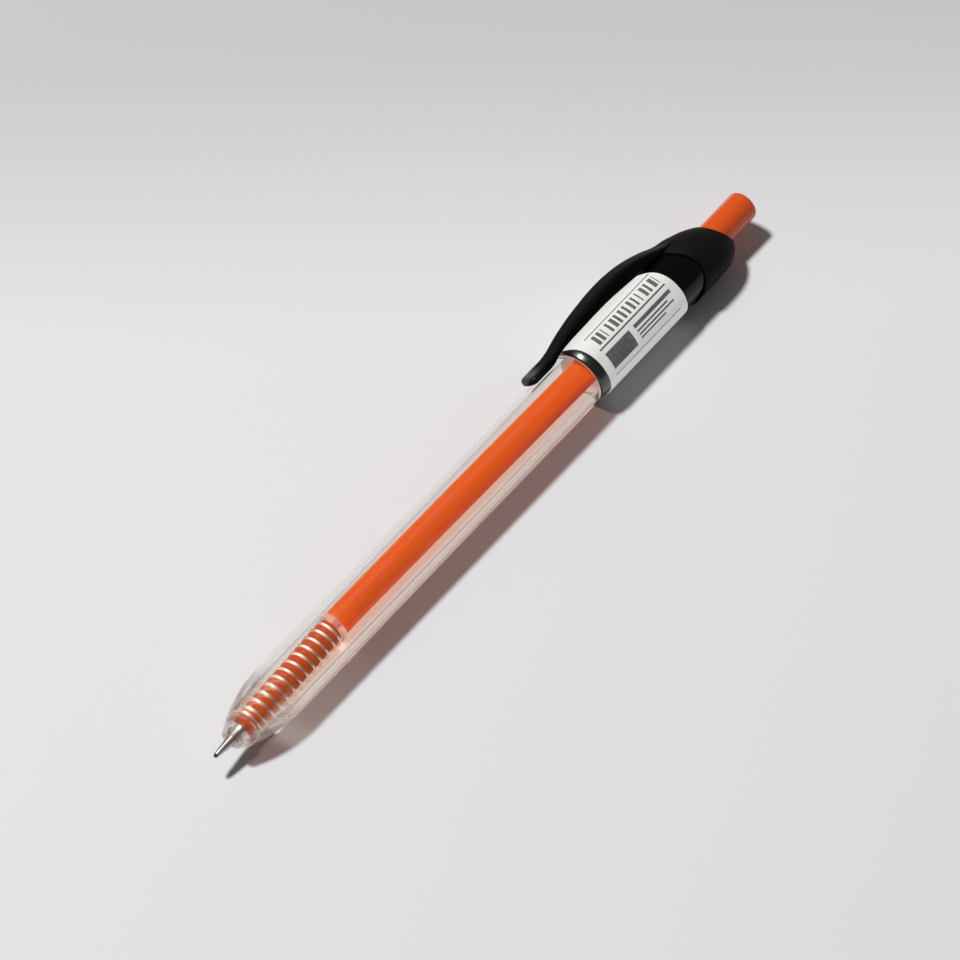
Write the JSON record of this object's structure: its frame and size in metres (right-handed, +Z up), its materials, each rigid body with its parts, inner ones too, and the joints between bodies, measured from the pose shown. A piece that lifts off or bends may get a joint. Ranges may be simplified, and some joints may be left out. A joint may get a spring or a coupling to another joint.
{
  "type": "retractable gel pen",
  "caption": "Retractable gel pen with a clear barrel that shows its spring and refill, a dark upper barrel with a wrap label, a collar clip with an arched arm and a push button",
  "frame": {"origin": "Under the middle of the pen's box as it lies on its side, at the height of the lowest point, which is the bottom of the clip collar.", "axes": "+X along the pen from the writing ball to the push button, +Y level towards the side that the clip leans to, +Z up."},
  "size_m": [0.143, 0.0132, 0.0134],
  "materials": {
    "ball_metal": "polished",
    "point_metal": "turned, satin",
    "amber_plastic": "translucent",
    "spring_wire": "bright drawn wire",
    "tube_plastic": "translucent, shows the ink",
    "ink_gel": "gel",
    "grease": "clear gel",
    "clear_plastic": "clear, polished",
    "black_plastic": "gloss",
    "label_film": "satin film",
    "clip_plastic": "satin gloss",
    "cam_plastic": "as moulded",
    "rotor_plastic": "as moulded",
    "orange_plastic": "gloss"
  },
  "bodies": {
    "barrel": {"clear_barrel": "clear_plastic", "upper_barrel": "black_plastic", "label": "label_film", "clip": "clip_plastic", "cam_sleeve": "cam_plastic", "return_spring": "spring_wire"},
    "refill": {"tip_ball": "ball_metal", "tip_cone": "point_metal", "tip_holder": "amber_plastic", "ink_tube": "tube_plastic", "ink_column": "ink_gel", "ink_follower": "grease"},
    "button": {"push_button": "orange_plastic"},
    "rotor": {"cam_rotor": "rotor_plastic"}
  },
  "joints": [
    {"name": "button_press", "type": "slide", "parent": "barrel", "child": "button", "axis": [1, 0, 0], "range_m": [-0.001, 0.0052]},
    {"name": "refill_slide", "type": "slide", "parent": "barrel", "child": "refill", "axis": [1, 0, 0], "range_m": [-0.001, 0.0052], "deforming": ["return_spring"]},
    {"name": "rotor_turn", "type": "hinge", "parent": "button", "child": "rotor", "pos_m": [0.0407, -0.00088, 0.00567], "axis": [1, 0, 0], "range_deg": [-8.7, 45.1]}
  ],
  "couplings": [
    {"joint": "refill_slide", "follows": "button_press", "ratio": 1},
    {"joint": "rotor_turn", "follows": "button_press", "rad_per_m": 151.04}
  ]
}
